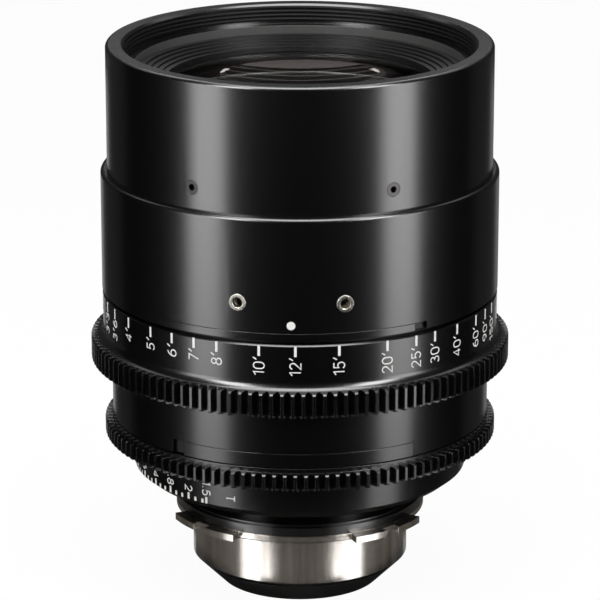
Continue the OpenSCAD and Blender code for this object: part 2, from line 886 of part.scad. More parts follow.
// One helical slot, as straight lengths that follow the sleeve's wall
module cam_slot() {
    steps = 15;
    reach = 2;
    lap = 0.05;
    turn = focus_turn_near + focus_turn_far;
    step = turn / steps;
    slope = atan(focus_lead / (2 * PI * sleeve_r));
    half = (sleeve_r + cut) * tan(step / 2) / cos(slope) + lap;
    for (i = [0 : steps - 1]) {
        a = -focus_turn_far + (i + 0.5) * step;
        rotate([0, 0, -a])
            translate([0, reach - sleeve_bore_r, follower_z + a * focus_lead / 360])
                rotate([90, 0, 0])
                    rotate([0, 0, -slope])
                        translate([-half, -cam_slot_w / 2, 0])
                            cube([2 * half, cam_slot_w, sleeve_wall + 2 * reach]);
    }
    for (a = [-focus_turn_far, focus_turn_near])
        rotate([0, 0, -a])
            translate([0, reach - sleeve_bore_r, follower_z + a * focus_lead / 360])
                rotate([90, 0, 0])
                    cylinder(d = cam_slot_w, h = sleeve_wall + 2 * reach);
}

module focus_cam_sleeve() {
    color(brass) difference() {
        ring(sleeve_r, sleeve_bore_r, sleeve_z, sleeve_top);
        around(follower_count, follower_azimuth) cam_slot();
        drive_key_places() cylinder(d = drive_key_d, h = sleeve_r + cut);
    }
}

module focus_cell() {
    color(dark) difference() {
        turned([
            [rear_bay_r, cell_low],
            [cell_r, cell_low],
            [cell_r, cell_high],
            [front_bay_r, cell_high],
            [front_bay_r, front_bay_z],
            [web_r, front_bay_z],
            [web_r, rear_bay_z],
            [rear_bay_r, rear_bay_z]
        ]);
        around(follower_count, follower_azimuth)
            translate([0, 0, follower_z]) rotate([90, 0, 0])
                translate([0, 0, follower_seat_r]) cylinder(d = follower_d, h = cell_r);
    }
}

module focus_front_lens() {
    r = front_bay_r - fit_clear;
    z_low = front_bay_z + fit_clear;
    color(glass, 0.6) intersection() {
        lens(r, z_low + focus_front_hollow, z_low + focus_front_rim + sag(focus_front_curve, r),
            -focus_front_hollow_curve, focus_front_curve);
        disc(r + cut, z_low, cell_high + cut);
    }
}

module focus_front_retainer() {
    r = front_bay_r - fit_clear;
    inner_r = r - focus_retainer_w;
    vertex = front_bay_z + fit_clear + focus_front_rim + sag(focus_front_curve, r) + fit_clear;
    color(dark) turned([
        [inner_r, vertex - sag(focus_front_curve, inner_r)],
        [r, vertex - sag(focus_front_curve, r)],
        [r, cell_high - focus_retainer_set],
        [inner_r, cell_high - focus_retainer_set]
    ]);
}

module focus_rear_lens() {
    r = rear_bay_r - fit_clear;
    z_high = rear_bay_z - fit_clear;
    vertex = z_high - focus_rear_rim - sag(focus_rear_curve, r);
    color(glass, 0.6) intersection() {
        lens(r, vertex, z_high - focus_rear_hollow, focus_rear_curve, -focus_rear_hollow_curve);
        disc(r + cut, vertex - cut, z_high);
    }
}

module focus_rear_retainer() {
    r = rear_bay_r - fit_clear;
    inner_r = r - focus_retainer_w;
    vertex = rear_bay_z - 2 * fit_clear - focus_rear_rim - sag(focus_rear_curve, r);
    color(dark) turned([
        [inner_r, vertex + sag(focus_rear_curve, inner_r)],
        [inner_r, vertex - focus_retainer_set],
        [r, vertex - focus_retainer_set],
        [r, vertex + sag(focus_rear_curve, r)]
    ]);
}

module cam_follower_pins() {
    color(steel) around(follower_count, follower_azimuth)
        translate([0, 0, follower_z]) rotate([90, 0, 0])
            translate([0, 0, follower_seat_r])
                cylinder(d = follower_d, h = follower_end_r - follower_seat_r);
}

module cam_follower_rollers() {
    color(brass) around(follower_count, follower_azimuth)
        translate([0, 0, follower_z]) rotate([90, 0, 0])
            translate([0, 0, sleeve_bore_r + fit_clear]) difference() {
                cylinder(d = roller_d, h = follower_end_r - sleeve_bore_r - fit_clear);
                translate([0, 0, -cut]) cylinder(d = follower_d + fit_clear, h = sleeve_wall + 2 * cut);
            }
}

// Middle barrel

module mid_barrel() {
    edge = 0.3;
    color(black) difference() {
        turned([
            [mid_lip_r, mid_z],
            [mid_r, mid_z],
            [mid_r, mid_top - edge],
            [mid_r - edge, mid_top],
            [mid_bore_r, mid_top],
            [mid_bore_r, mid_z + mid_lip_h],
            [mid_lip_r, mid_z + mid_lip_h]
        ]);
        ring_sector(mid_r + cut, mid_r - plate_depth, mid_z - cut, mid_z + iris_plate_h,
            -iris_recess_angle, iris_recess_angle);
    }
}

module iris_index_plate() {
    color(black)
        ring_sector(mid_r, mid_r - plate_depth + fit_clear, mid_z, mid_z + iris_plate_h - fit_clear,
            plate_end_gap - iris_recess_angle, iris_recess_angle - plate_seam);
}

// Iris unit

module iris_housing() {
    window = asin((drive_pin_d / 2 + run_clear) / housing_bore_r);
    window_h = drive_pin_d + 2 * run_clear;
    color(dark) difference() {
        turned([
            [floor_bore_r, floor_z],
            [housing_r - retainer_step, floor_z],
            [housing_r - retainer_step, floor_z + retainer_h],
            [housing_r, floor_z + retainer_h],
            [housing_r, housing_flange_z],
            [guide_r, housing_flange_z],
            [guide_r, guide_z],
            [housing_bore_r, guide_z],
            [housing_bore_r, base_z],
            [floor_bore_r, base_z]
        ]);
        ring_sector(housing_r + cut, housing_bore_r - cut, actuator_mid - window_h / 2,
            actuator_mid + window_h / 2, 180 - window, 180 + iris_turn + window);
        around(screw_count) {
            translate([0, -core_screw_r, housing_flange_z - cut])
                cylinder(d = screw_hole_d, h = housing_flange_t + 2 * cut);
            translate([0, -core_screw_r, housing_flange_z - cut])
                cylinder(d = screw_head_d + 2 * fit_clear, h = screw_head_h + fit_clear + cut);
        }
        around(screw_count)
            translate([0, -rear_screw_r, floor_z - cut]) cylinder(d = screw_d, h = rear_screw_bite + cut);
    }
}

module iris_housing_screws() {
    color(steel) around(screw_count)
        translate([0, -core_screw_r, housing_flange_z + screw_head_h + fit_clear])
            rotate([180, 0, 0]) screw(housing_flange_t - screw_head_h - fit_clear + screw_bite);
}

module iris_ring() {
    step_r = housing_r - retainer_step + retainer_w + run_clear / 2;
    step_h = retainer_h + 2 * fit_clear;
    color(black) difference() {
        intersection() {
            turned([
                [0, floor_z],
                [iris_foot_d / 2, floor_z],
                [iris_band_d / 2, iris_band_z],
                [iris_band_d / 2, iris_gear_z],
                [iris_tip_r - tooth_chamfer, iris_gear_z],
                [iris_tip_r, iris_gear_z + tooth_chamfer],
                [iris_tip_r, iris_lip_z - tooth_chamfer],
                [iris_tip_r - tooth_chamfer, iris_lip_z],
                [iris_lip_r, iris_lip_z],
                [iris_lip_r, iris_top],
                [0, iris_top]
            ]);
            translate([0, 0, floor_z - cut])
                linear_extrude(iris_top - floor_z + 2 * cut) gear_profile(iris_teeth, iris_gear_phase);
        }
        disc(iris_bore_r, floor_z - cut, iris_top + cut);
        disc(step_r, floor_z - cut, floor_z + step_h);
        radial(180, 0, actuator_mid) cylinder(d = drive_pin_d, h = iris_tip_r + cut);
    }
}

module iris_drive_pin() {
    inner_r = actuator_r - drive_pin_bite;
    color(steel) radial(180, inner_r, actuator_mid)
        cylinder(d = drive_pin_d, h = iris_root_r - drive_pin_cover - inner_r);
}

module iris_retaining_ring() {
    inner_r = housing_r - retainer_step + fit_clear;
    color(dark) ring(inner_r + retainer_w - fit_clear, inner_r, floor_z, floor_z + retainer_h);
}

module iris_base_plate() {
    color(dark) difference() {
        ring(housing_bore_r - fit_clear, light_r, base_z, base_top);
        around(blade_count)
            translate([pivot_r, 0, base_z - cut])
                cylinder(d = blade_pin_d + fit_clear, h = base_plate_t + 2 * cut);
    }
}

// One blade, its pivot on the +X axis: a tapered crescent cut from a sloping sheet,
// so that each blade lies over the next one all round
function blade_outer(a) = blade_root_r + (blade_tail_r - blade_root_r) * a / blade_span;

module iris_blade(place) {
    step = 5;
    sheet = 4 * pivot_r;
    drive = polar(drive_r, drive_azimuth);
    slope_dir = [-sin(tilt_azimuth), cos(tilt_azimuth)];
    drive_rise = tan(blade_tilt) * (slope_dir * (drive - [pivot_r, 0]));
    color(dark) rotate([0, 0, place * 360 / blade_count]) {
        intersection() {
            translate([0, 0, base_z]) linear_extrude(clamp_z - base_z) union() {
                polygon(concat(
                    [for (a = [0 : step : blade_span]) polar(blade_outer(a), a)],
                    [for (a = [blade_span : -step : 0]) polar(open_r, a)]
                ));
                translate([pivot_r, 0]) circle(r = blade_ear_r);
            }
            translate([pivot_r, 0, blade_z])
                rotate([0, 0, tilt_azimuth]) rotate([blade_tilt, 0, 0])
                    translate([-sheet / 2, -sheet / 2, -blade_t / 2]) cube([sheet, sheet, blade_t]);
        }
        translate([pivot_r, 0, base_z + pin_end_gap])
            cylinder(r = blade_pin_r, h = blade_z - base_z - pin_end_gap);
        translate([drive[0], drive[1], blade_z + drive_rise])
            cylinder(r = blade_pin_r, h = actuator_top - pin_end_gap - blade_z - drive_rise);
    }
}

// Where a blade's drive pin lies in the actuator ring, at t from open (0) to closed (1)
function drive_path(t) =
    let (d = polar(drive_r, drive_azimuth) - [pivot_r, 0])
    let (b = t * blade_turn)
    let (p = [pivot_r + d[0] * cos(b) - d[1] * sin(b), d[0] * sin(b) + d[1] * cos(b)])
    let (i = t * iris_turn)
    [p[0] * cos(i) + p[1] * sin(i), p[1] * cos(i) - p[0] * sin(i)];

module actuator_slot() {
    steps = 16;
    nudge = 0.01;
    half_w = blade_pin_r + slot_clear;
    path = [for (k = [0 : steps]) drive_path(k / steps)];
    heading = [for (t = [0 : 1 / steps : 1]) drive_path(t + nudge) - drive_path(t - nudge)];
    side = [for (h = heading) [-h[1], h[0]] / norm(h) * half_w];
    polygon(concat(
        [for (k = [0 : steps]) path[k] + side[k]],
        [for (k = [steps : -1 : 0]) path[k] - side[k]]
    ));
    for (end = [path[0], path[steps]])
        translate(end) circle(r = half_w);
}

module iris_actuator_ring() {
    color(steel) difference() {
        ring(actuator_r, light_r, actuator_z, actuator_top);
        around(blade_count)
            translate([0, 0, actuator_z - cut]) linear_extrude(actuator_t + 2 * cut) actuator_slot();
        radial(180, actuator_r - drive_pin_bite, actuator_mid)
            cylinder(d = drive_pin_d, h = drive_pin_bite + cut);
    }
}

module iris_clamp_ring() {
    color(dark) ring(housing_bore_r - fit_clear, clamp_bore_r, clamp_z, clamp_z + clamp_t);
}

// Neck and rear group

module rear_housing() {
    color(black) difference() {
        turned([
            [neck_bore_r, collar_z],
            [collar_r, collar_z],
            [collar_r, collar_top],
            [neck_r, collar_top],
            [neck_r, neck_top],
            [neck_flange_r, neck_top],
            [neck_flange_r, floor_z],
            [neck_bore_r, floor_z]
        ]);
        around(screw_count)
            translate([0, -rear_screw_r, neck_top - cut])
                cylinder(d = screw_hole_d, h = neck_flange_t + 2 * cut);
        mount_screw_places() cylinder(d = screw_d, h = mount_hole_end);
    }
}

module rear_housing_screws() {
    color(steel) around(screw_count)
        translate([0, -rear_screw_r, neck_top])
            rotate([180, 0, 0]) screw(neck_flange_t + rear_screw_bite);
}

module rear_cell() {
    color(dark) turned([
        [rear_seat_r, rear_cell_low],
        [rear_tail_r, rear_cell_low],
        [rear_tail_r, rear_cell_step_z],
        [rear_cell_r, rear_cell_step_z],
        [rear_cell_r, floor_z],
        [rear_flange_r, floor_z],
        [rear_flange_r, rear_cell_top],
        [rear_throat_r, rear_cell_top],
        [rear_throat_r, rear_seat_z],
        [rear_seat_r, rear_seat_z]
    ]);
}

module rear_front_lens() {
    rear_z = rear_front_z - rear_front_thick;
    color(glass, 0.6) intersection() {
        lens(rear_lens_r, rear_z, rear_front_z - rear_front_hollow,
            rear_front_curve, -rear_front_hollow_curve);
        disc(rear_lens_r + cut, rear_z - cut, rear_front_z);
    }
}

module rear_lens_spacer() {
    inner_r = rear_lens_r - rear_spacer_w;
    color(dark) turned([
        [inner_r, rear_spacer_low - sag(rear_element_curve, inner_r)],
        [rear_lens_r, rear_spacer_low - sag(rear_element_curve, rear_lens_r)],
        [rear_lens_r, rear_spacer_top + sag(rear_front_curve, rear_lens_r)],
        [inner_r, rear_spacer_top + sag(rear_front_curve, inner_r)]
    ]);
}

module rear_element() {
    color(glass, 0.6) intersection() {
        lens(rear_lens_r, rear_element_low + rear_hollow, rear_element_top,
            -rear_hollow_curve, rear_element_curve);
        disc(rear_lens_r + cut, rear_element_low, rear_element_top + cut);
    }
}

module rear_retaining_ring() {
    color(dark)
        ring(rear_lens_r, rear_lens_r - rear_retainer_w, rear_cell_low, rear_element_low - fit_clear);
}

// Mount

module mount_screw_places() {
    around(tab_count) translate([0, -mount_screw_r, 0]) children();
}

module mount_spacer() {
    color(black) difference() {
        turned([
            [mount_bore_r, spacer_z],
            [flange_r, spacer_z],
            [flange_r, spacer_top],
            [flange_r - spacer_lip_w, spacer_top],
            [flange_r - spacer_lip_w, collar_z],
            [mount_bore_r, collar_z]
        ]);
        mount_screw_places() cylinder(d = screw_hole_d, h = collar_top);
    }
}

module flange_shim() {
    color(steel) difference() {
        ring(flange_r - shim_inset, mount_bore_r, shim_z, spacer_z);
        mount_screw_places() cylinder(d = screw_hole_d, h = collar_top);
    }
}

module mount_flange() {
    color(steel) difference() {
        union() {
            turned([
                [mount_bore_r, shroud_z],
                [shroud_front_r, shroud_z],
                [mount_r, shroud_z + mount_bevel],
                [mount_r, 0],
                [flange_r - flange_bevel, 0],
                [flange_r, flange_bevel],
                [flange_r, flange_t],
                [mount_bore_r, flange_t]
            ]);
            around(tab_count, tab_azimuth)
                ring_sector(tab_r, flange_r - cut, 0, flange_t, -tab_angle / 2, tab_angle / 2);
        }
        around(tab_count, tab_azimuth)
            translate([-tab_notch_w / 2, -tab_r - cut, -cut])
                cube([tab_notch_w, tab_notch_depth + cut, flange_t + 2 * cut]);
        mount_screw_places() {
            disc(screw_hole_d / 2, -cut, flange_t + cut);
            disc(mount_screw_head_d / 2 + fit_clear, -cut, mount_screw_sink);
            mount_screw_head(fit_clear);
        }
    }
}

// Countersunk head, a little below the seat
module mount_screw_head(clear) {
    head_r = mount_screw_head_d / 2 + clear;
    translate([0, 0, mount_screw_sink])
        cylinder(r1 = head_r, r2 = screw_d / 2, h = head_r - screw_d / 2);
}

module mount_screws() {
    color(white_metal) mount_screw_places() difference() {
        union() {
            mount_screw_head(0);
            disc(screw_d / 2, mount_screw_sink, mount_hole_end - fit_clear);
        }
        translate([0, 0, -cut])
            cylinder(d = mount_socket_d, h = cut + mount_screw_sink + mount_socket_depth, $fn = 6);
    }
}

module rear_shroud() {
    rim_z = shroud_z - shroud_len;
    color(black) turned([
        [shroud_rear_r - shroud_rim_w, rim_z],
        [shroud_rear_r, rim_z],
        [shroud_front_r, shroud_z],
        [spigot_r, shroud_z],
        [spigot_r, shroud_z + shroud_spigot_len],
        [spigot_bore_r, shroud_z + shroud_spigot_len],
        [spigot_bore_r, shroud_z - shroud_throat]
    ]);
}

front_ring();
front_ring_set_screws();
front_baffle();
front_retaining_ring();
front_element();
front_cell();
second_element();
second_element_retainer();
main_barrel();
main_barrel_screws();
accessory_inserts();
focus_index_plate();
guide_tube();
upper_slide_washer();
lower_slide_washer();
focus_ring();
focus_drive_keys();
focus_cam_sleeve();
focus_cell();
focus_front_lens();
focus_rear_lens();
focus_front_retainer();
focus_rear_retainer();
cam_follower_pins();
cam_follower_rollers();
mid_barrel();
iris_index_plate();
iris_housing();
iris_housing_screws();
iris_ring();
iris_drive_pin();
iris_retaining_ring();
iris_base_plate();
iris_blade(0);  // iris_blade_1
iris_blade(1);  // iris_blade_2
iris_blade(2);  // iris_blade_3
iris_blade(3);  // iris_blade_4
iris_blade(4);  // iris_blade_5
iris_blade(5);  // iris_blade_6
iris_blade(6);  // iris_blade_7
iris_blade(7);  // iris_blade_8
iris_blade(8);  // iris_blade_9
iris_actuator_ring();
iris_clamp_ring();
rear_housing();
rear_housing_screws();
rear_cell();
rear_front_lens();
rear_lens_spacer();
rear_element();
rear_retaining_ring();
mount_spacer();
flange_shim();
mount_flange();
mount_screws();
rear_shroud();
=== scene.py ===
import json
import math

import bmesh
import bpy
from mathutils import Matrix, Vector


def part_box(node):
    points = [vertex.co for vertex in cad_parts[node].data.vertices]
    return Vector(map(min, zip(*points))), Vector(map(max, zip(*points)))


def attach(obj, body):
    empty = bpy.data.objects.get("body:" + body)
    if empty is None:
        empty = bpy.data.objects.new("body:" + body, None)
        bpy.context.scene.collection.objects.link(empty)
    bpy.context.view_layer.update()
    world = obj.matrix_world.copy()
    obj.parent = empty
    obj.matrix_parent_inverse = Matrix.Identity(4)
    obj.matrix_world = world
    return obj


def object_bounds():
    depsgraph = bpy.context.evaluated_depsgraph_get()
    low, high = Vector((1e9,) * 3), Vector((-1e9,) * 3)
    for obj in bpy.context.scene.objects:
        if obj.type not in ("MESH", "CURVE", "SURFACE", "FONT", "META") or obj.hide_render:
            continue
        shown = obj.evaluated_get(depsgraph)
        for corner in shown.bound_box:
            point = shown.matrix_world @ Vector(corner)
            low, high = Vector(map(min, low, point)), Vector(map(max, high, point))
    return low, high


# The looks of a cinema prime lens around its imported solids: finishes, scales, paint, threads, studio and
# camera. Every length is in metres in the frame of the solids. The origin is the centre of the mount seat and
# +Z points to the front of the lens. Azimuth 0 faces -Y and grows towards +X. Angles are in degrees.

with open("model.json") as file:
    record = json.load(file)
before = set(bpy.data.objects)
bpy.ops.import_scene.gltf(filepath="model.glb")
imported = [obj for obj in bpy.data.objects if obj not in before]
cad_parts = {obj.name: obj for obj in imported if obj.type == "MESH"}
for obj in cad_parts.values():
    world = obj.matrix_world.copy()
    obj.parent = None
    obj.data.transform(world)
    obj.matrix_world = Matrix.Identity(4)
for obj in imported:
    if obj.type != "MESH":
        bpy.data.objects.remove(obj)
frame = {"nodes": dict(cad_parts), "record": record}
cad_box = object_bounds()

MM = 0.001
UP = Vector((0, 0, 1))


def on_axis(radius, azimuth, z):
    """The point at a radius from the lens axis, at an azimuth and a height."""
    turn = math.radians(azimuth)
    return Vector((radius * math.sin(turn), -radius * math.cos(turn), z))


def new_object(name, data):
    """Makes an object of a mesh, lamp or camera and puts it in the scene."""
    thing = bpy.data.objects.new(name, data)
    bpy.context.scene.collection.objects.link(thing)
    return thing


def new_mesh_object(name, mesh, material):
    """Makes an object of a bmesh and gives it a material."""
    data = bpy.data.meshes.new(name)
    mesh.to_mesh(data)
    mesh.free()
    data.materials.append(material)
    return new_object(name, data)


def new_piece(name, mesh, material, body):
    """Makes a piece of the lens of a bmesh and lets it ride on a body."""
    bmesh.ops.recalc_face_normals(mesh, faces=mesh.faces)
    piece = new_mesh_object(name, mesh, material)
    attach(piece, body)
    return piece


def add_walls(mesh, rows, whole):
    """Joins rows of points, each a closed section, by faces. Rows that aren't whole get end faces."""
    for here, there in zip(rows, rows[1:] + rows[:1] if whole else rows[1:]):
        for corner in range(len(here)):
            beside = (corner + 1) % len(here)
            mesh.faces.new((here[corner], here[beside], there[beside], there[corner]))
    if not whole:
        mesh.faces.new(rows[0])
        mesh.faces.new(rows[-1])


# Finishes
# Texture scales are in cycles a metre, so 1 / MM is one cycle a millimetre.
CLOUD_SCALE = 0.08 / MM
GRAIN_SCALE = 9 / MM
TURNED_SCALE = 9 / MM
UPRIGHT_SCALE = 11.0
CLOUD_DETAIL = 3.0
GRAIN_DETAIL = 2.0
TURNED_DETAIL = 3.0
UPRIGHT_DETAIL = 4.0
# A noise texture stays mostly between these two values.
NOISE_LOW = 0.3
NOISE_HIGH = 0.7
EDGE_ROUND = 0.14 * MM
EDGE_SAMPLES = 4


def add_node(tree, kind, inputs=None, **settings):
    """Adds a shader node. An input is a constant or the socket that feeds it."""
    node = tree.nodes.new("ShaderNode" + kind)
    for key, value in settings.items():
        setattr(node, key, value)
    for key, value in (inputs or {}).items():
        if isinstance(value, bpy.types.NodeSocket):
            tree.links.new(value, node.inputs[key])
        else:
            node.inputs[key].default_value = value
    return node


def cleared_tree(owner):
    """The node tree of a material or world, with its first nodes taken out."""
    owner.use_nodes = True
    owner.node_tree.nodes.clear()
    return owner.node_tree


def shade(colour, factor):
    """A colour made lighter or darker, as the four numbers of a socket."""
    return (*(min(1.0, part * factor) for part in colour), 1.0)


def turned_coordinates(tree, place):
    """Distance from the lens axis and height: a texture on them runs round as a lathe's lines do."""
    parts = add_node(tree, "SeparateXYZ", {0: place})
    flat = add_node(tree, "CombineXYZ", {"X": parts.outputs["X"], "Y": parts.outputs["Y"]})
    radius = add_node(tree, "VectorMath", {0: flat.outputs[0]}, operation="LENGTH")
    turned = add_node(tree, "CombineXYZ", {"X": radius.outputs["Value"], "Y": parts.outputs["Z"]})
    return turned.outputs[0]


def upright_coordinates(tree, place):
    """The direction from the lens axis, so that a texture on it runs along the axis."""
    parts = add_node(tree, "SeparateXYZ", {0: place})
    flat = add_node(tree, "CombineXYZ", {"X": parts.outputs["X"], "Y": parts.outputs["Y"]})
    return add_node(tree, "VectorMath", {0: flat.outputs[0]}, operation="NORMALIZE").outputs["Vector"]


def finish(
    name, colour, roughness, spread=0.2, rough_spread=0.05, grain=0.0, turned=0.0, edge=EDGE_ROUND,
    upright=False, **sockets,
):
    """A material whose colour and roughness drift, with fine grain, turned lines and softened edges.

    spread is the share by which the colour drifts, and upright draws that drift out along the lens axis into
    streaks, which on the mount steel are painted reflection.
    grain and turned are the depths of the two textures in metres. sockets are the constants of the shader's
    other inputs, by their names with _ for a space.
    """
    material = bpy.data.materials.new(name)
    material.use_nodes = True
    tree = material.node_tree
    shader = tree.nodes["Principled BSDF"]
    place = add_node(tree, "TexCoord").outputs["Object"]
    if upright:
        drift = add_node(tree, "TexNoise", {
            "Vector": upright_coordinates(tree, place),
            "Scale": UPRIGHT_SCALE,
            "Detail": UPRIGHT_DETAIL,
        })
    else:
        drift = add_node(tree, "TexNoise", {"Vector": place, "Scale": CLOUD_SCALE, "Detail": CLOUD_DETAIL})
    fine = add_node(tree, "TexNoise", {"Vector": place, "Scale": GRAIN_SCALE, "Detail": GRAIN_DETAIL})
    lines = add_node(tree, "TexNoise", {
        "Vector": turned_coordinates(tree, place),
        "Scale": TURNED_SCALE,
        "Detail": TURNED_DETAIL,
    })
    tint = add_node(tree, "MixRGB", {
        "Fac": drift.outputs["Fac"],
        "Color1": shade(colour, 1 - spread),
        "Color2": shade(colour, 1 + spread),
    })
    tree.links.new(tint.outputs[0], shader.inputs["Base Color"])
    rough = add_node(tree, "MapRange", {
        "Value": (lines if turned else fine).outputs["Fac"],
        "From Min": NOISE_LOW,
        "From Max": NOISE_HIGH,
        "To Min": roughness - rough_spread,
        "To Max": roughness + rough_spread,
    })
    tree.links.new(rough.outputs["Result"], shader.inputs["Roughness"])
    normal = add_node(tree, "Bevel", {"Radius": edge}, samples=EDGE_SAMPLES).outputs["Normal"]
    for texture, depth in ((fine, grain), (lines, turned)):
        if depth:
            normal = add_node(tree, "Bump", {
                "Height": texture.outputs["Fac"],
                "Distance": depth,
                "Normal": normal,
            }).outputs["Normal"]
    tree.links.new(normal, shader.inputs["Normal"])
    for key, value in sockets.items():
        shader.inputs[key.replace("_", " ")].default_value = value
    return material


GLASS_IOR = 1.55
COATING_IOR = 1.38
CRISP_EDGE = 0.02 * MM


def glass(name, tint, film_nm):
    """Polished glass with one coating layer. Its polish varies a little, as on wiped glass."""
    return finish(
        name, tint, 0.006, spread=0.015, rough_spread=0.004, edge=CRISP_EDGE,
        Transmission_Weight=1.0, IOR=GLASS_IOR, Thin_Film_Thickness=film_nm, Thin_Film_IOR=COATING_IOR,
    )


ANODISED = dict(spread=0.25, rough_spread=0.03, grain=0.0005 * MM, IOR=1.75)
FINISHES = {
    "black_anodised": finish("black_anodised", (0.0007, 0.0007, 0.0008), 0.24, **ANODISED),
    "focus_ring_black": finish(
        "focus_ring_black", (0.0008, 0.0008, 0.0009), 0.23, edge=0.08 * MM, **ANODISED,
    ),
    "iris_ring_black": finish("iris_ring_black", (0.0008, 0.0008, 0.0009), 0.24, **ANODISED),
    "inner_black": finish(
        "inner_black", (0.0025, 0.0025, 0.0027), 0.4, grain=0.002 * MM, edge=CRISP_EDGE,
    ),
    "blade_steel": finish(
        "blade_steel", (0.055, 0.054, 0.052), 0.42, rough_spread=0.08, grain=0.001 * MM, Metallic=1.0,
    ),
    "fastener_black": finish(
        "fastener_black", (0.045, 0.044, 0.043), 0.2, grain=0.001 * MM, Metallic=1.0,
    ),
    "fastener_steel": finish("fastener_steel", (0.55, 0.54, 0.52), 0.26, spread=0.08, Metallic=1.0),
    "insert_nickel": finish(
        "insert_nickel", (0.95, 0.89, 0.80), 0.26, spread=0.1, edge=0.3 * MM, Metallic=1.0,
    ),
    # The mount steel's colour drifts strongly in streaks along the lens axis: painted reflection, bands that
    # stand in for the studio mirrored in the turned steel.
    "mount_steel": finish(
        "mount_steel", (0.60, 0.57, 0.53), 0.2, spread=0.6, turned=0.0008 * MM, upright=True, Metallic=1.0,
    ),
    "bearing_brass": finish("bearing_brass", (0.72, 0.50, 0.22), 0.3, turned=0.0015 * MM, Metallic=1.0),
    "slide_plastic": finish("slide_plastic", (0.004, 0.004, 0.004), 0.5, grain=0.002 * MM),
    "coated_glass": glass("coated_glass", (0.97, 0.98, 0.975), 112.0),
    "inner_glass": glass("inner_glass", (0.975, 0.98, 0.97), 96.0),
    "rear_glass": glass("rear_glass", (0.97, 0.975, 0.98), 104.0),
}
SCALE_PAINT = finish(
    "scale_paint", (0.74, 0.74, 0.72), 0.45, spread=0.03, grain=0.002 * MM, edge=CRISP_EDGE,
)
CONE_BLACK = finish("cone_black", (0.011, 0.0105, 0.010), 0.42, grain=0.004 * MM)
LEDGE_BLACK = finish("matt_black", (0.075, 0.073, 0.071), 0.55, grain=0.003 * MM)
THREAD_BLACK = finish("thread_black", (0.008, 0.0078, 0.0075), 0.5, grain=0.001 * MM, IOR=1.22)
# The insert threads take a darkened copy of the nickel: painted shade for the inside of the threaded holes.
SHADED_THREAD_NICKEL = finish(
    "thread_nickel_painted_shade", (0.2, 0.185, 0.165), 0.22, spread=0.1, edge=CRISP_EDGE, Metallic=1.0,
)

for part in frame["record"]["subparts"]:
    node = frame["nodes"][part["node"]]
    node.data.materials.clear()
    node.data.materials.append(FINISHES[part["material_slot"]])

# The cam sleeve shows through the gap above the focus scale and gets the inner black finish, which keeps that
# gap dark. The rear cone has a duller finish than the barrels.
frame["nodes"]["focus_cam_sleeve"].data.materials[0] = FINISHES["inner_black"]
frame["nodes"]["rear_shroud"].data.materials[0] = CONE_BLACK


# Scales
# A numeral is drawn as strokes of one width on a grid whose unit is the height of the numerals.
PAINT_LIFT = 0.03 * MM
PAINT_ROOT = 0.06 * MM
MITRE_LIMIT = 1.8
GLYPH_GAP = 0.26
ARC_STEPS = 12
LOOP_STEPS = 24
HOOK_STEPS = 8
UPWARDS = 1
DOWNWARDS = -1


def arc(centre, radii, start, end, steps=ARC_STEPS):
    """Points on an ellipse between two angles."""
    turns = [math.radians(start + (end - start) * step / steps) for step in range(steps + 1)]
    return [
        (centre[0] + radii[0] * math.cos(turn), centre[1] + radii[1] * math.sin(turn))
        for turn in turns
    ]


def loop(centre, radii):
    """Points once round an ellipse, for a closed stroke."""
    return arc(centre, radii, 0.0, 360.0, LOOP_STEPS)[:-1]


def turned_over(strokes, width):
    """The strokes of a glyph turned by half a turn."""
    return [([(width - x, 1 - y) for x, y in line], closed) for line, closed in strokes]


SIX = [
    (arc((0.56, 0.30), (0.56, 0.70), 100, 180, HOOK_STEPS), False),
    (loop((0.30, 0.30), (0.30, 0.30)), True),
]
# Each glyph has its width and its strokes, and a stroke is a line of points that is open or closed.
GLYPHS = {
    "0": (0.60, [
        (arc((0.30, 0.68), (0.30, 0.32), 0, 180) + arc((0.30, 0.32), (0.30, 0.32), 180, 360), True),
    ]),
    "1": (0.36, [([(0.02, 0.80), (0.30, 1.0), (0.30, 0.0)], False)]),
    "2": (0.58, [(arc((0.29, 0.71), (0.28, 0.29), 165, -38) + [(0.0, 0.0), (0.58, 0.0)], False)]),
    "3": (0.57, [
        (arc((0.28, 0.76), (0.24, 0.24), 150, -90) + arc((0.28, 0.26), (0.29, 0.26), 90, -150)[1:], False),
    ]),
    "4": (0.62, [([(0.45, 0.0), (0.45, 1.0), (0.0, 0.27), (0.62, 0.27)], False)]),
    "5": (0.58, [
        ([(0.53, 1.0), (0.09, 1.0), (0.06, 0.53)] + arc((0.28, 0.32), (0.30, 0.32), 125, -150), False),
    ]),
    "6": (0.60, SIX),
    "7": (0.56, [([(0.0, 1.0), (0.56, 1.0), (0.18, 0.0)], False)]),
    "8": (0.60, [(loop((0.30, 0.76), (0.25, 0.24)), True), (loop((0.30, 0.26), (0.30, 0.26)), True)]),
    "9": (0.60, turned_over(SIX, 0.60)),
    ".": (0.12, [([(0.06, 0.0), (0.06, 0.11)], False)]),
    "'": (0.21, [([(0.0, 0.72), (0.20, 1.06)], False)]),
    "T": (0.62, [([(0.0, 1.0), (0.62, 1.0)], False), ([(0.31, 1.0), (0.31, 0.0)], False)]),
    "endless": (1.24, [
        (loop((0.31, 0.5), (0.31, 0.27)), True),
        (loop((0.93, 0.5), (0.31, 0.27)), True),
    ]),
}


